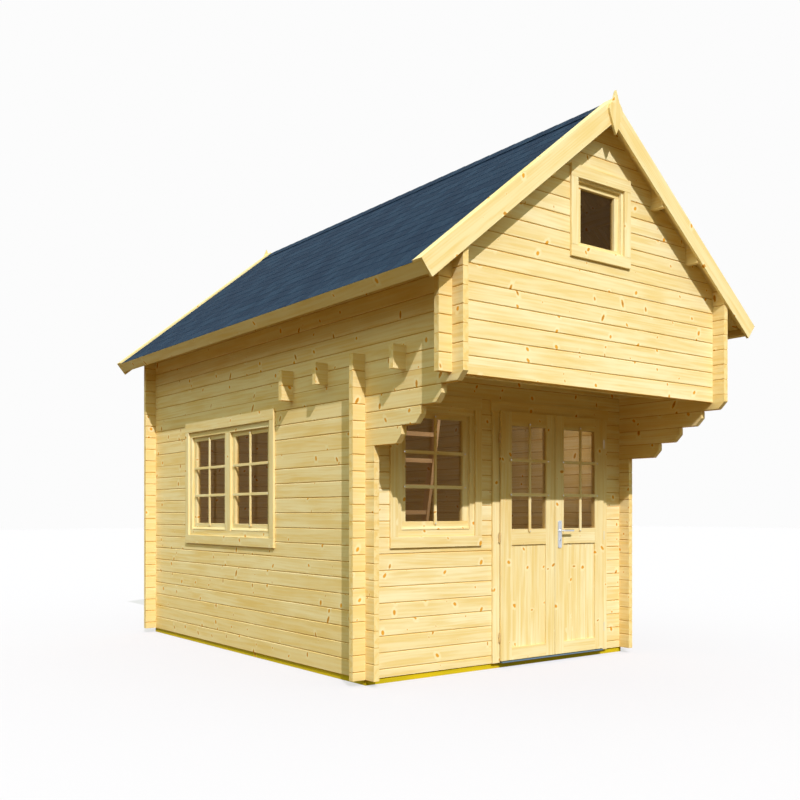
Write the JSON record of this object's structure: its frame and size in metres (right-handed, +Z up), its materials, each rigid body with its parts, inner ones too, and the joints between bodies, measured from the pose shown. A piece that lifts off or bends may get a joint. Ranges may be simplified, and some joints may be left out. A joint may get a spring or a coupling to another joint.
{
  "type": "log cabin with loft",
  "caption": "Small log cabin with a gable roof, double glazed entrance doors and a sleeping loft that juts out over the entrance on corbelled side walls.",
  "frame": {"origin": "middle of the bounding box at the underside of the base bearers", "axes": "+Z up, entrance doors towards -Y, +X to the right seen from the front"},
  "size_m": [3.3436, 4.881, 4.0569],
  "materials": {
    "log_wood": "planed pale spruce with small knots",
    "trim_wood": "planed pale spruce",
    "door_wood": "planed pale spruce",
    "window_wood": "planed pale spruce",
    "board_wood": "planed tongue and groove boards",
    "ladder_wood": "planed wood",
    "treated_wood": "impregnated yellow green timber",
    "shingles": "matt mineral granules on bitumen",
    "glass": "clear",
    "threshold_metal": "brushed",
    "steel_fittings": "satin"
  },
  "bodies": {
    "cabin": {"side_bearers": "treated_wood", "end_bearers": "treated_wood", "floor_bearers": "treated_wood", "ground_floor": "board_wood", "front_wall_left": "log_wood", "front_wall_right": "log_wood", "front_wall_over": "log_wood", "back_wall": "log_wood", "loft_wall": "log_wood", "left_wall": "log_wood", "left_corbels": "log_wood", "left_wall_upper": "log_wood", "right_wall": "log_wood", "right_corbels": "log_wood", "right_wall_upper": "log_wood", "loft_joists": "log_wood", "loft_beam": "log_wood", "loft_floor": "board_wood", "ladder_stiles": "ladder_wood", "ladder_rungs": "ladder_wood", "purlins": "log_wood", "left_roof_boards": "board_wood", "right_roof_boards": "board_wood", "left_shingles": "shingles", "right_shingles": "shingles", "ridge_shingles": "shingles", "left_barges": "trim_wood", "right_barges": "trim_wood", "left_edge_caps": "trim_wood", "right_edge_caps": "trim_wood", "finials": "trim_wood", "fascias": "trim_wood", "door_jambs": "door_wood", "door_head": "door_wood", "door_side_trims": "door_wood", "door_head_trim": "door_wood", "threshold": "threshold_metal", "frame_hinges": "steel_fittings", "window_trims": "window_wood", "window_frames": "window_wood", "window_sashes": "window_wood", "window_panes": "glass"},
    "left_door": {"left_leaf": "door_wood", "left_leaf_panes": "glass", "left_leaf_hinges": "steel_fittings"},
    "right_door": {"right_leaf": "door_wood", "right_leaf_panes": "glass", "right_leaf_hinges": "steel_fittings", "handle_plates": "steel_fittings"},
    "door_lever": {"lever": "steel_fittings"}
  },
  "joints": [
    {"name": "left_door_hinge", "type": "hinge", "parent": "cabin", "child": "left_door", "pos_m": [-0.12, -1.415, 1], "axis": [0, 0, -1], "range_deg": [0, 100]},
    {"name": "right_door_hinge", "type": "hinge", "parent": "cabin", "child": "right_door", "pos_m": [1.06, -1.415, 1], "axis": [0, 0, 1], "range_deg": [0, 100]},
    {"name": "lever_turn", "type": "hinge", "parent": "right_door", "child": "door_lever", "pos_m": [0.522, -1.415, 1.042], "axis": [0, 1, 0], "range_deg": [0, 40]}
  ]
}
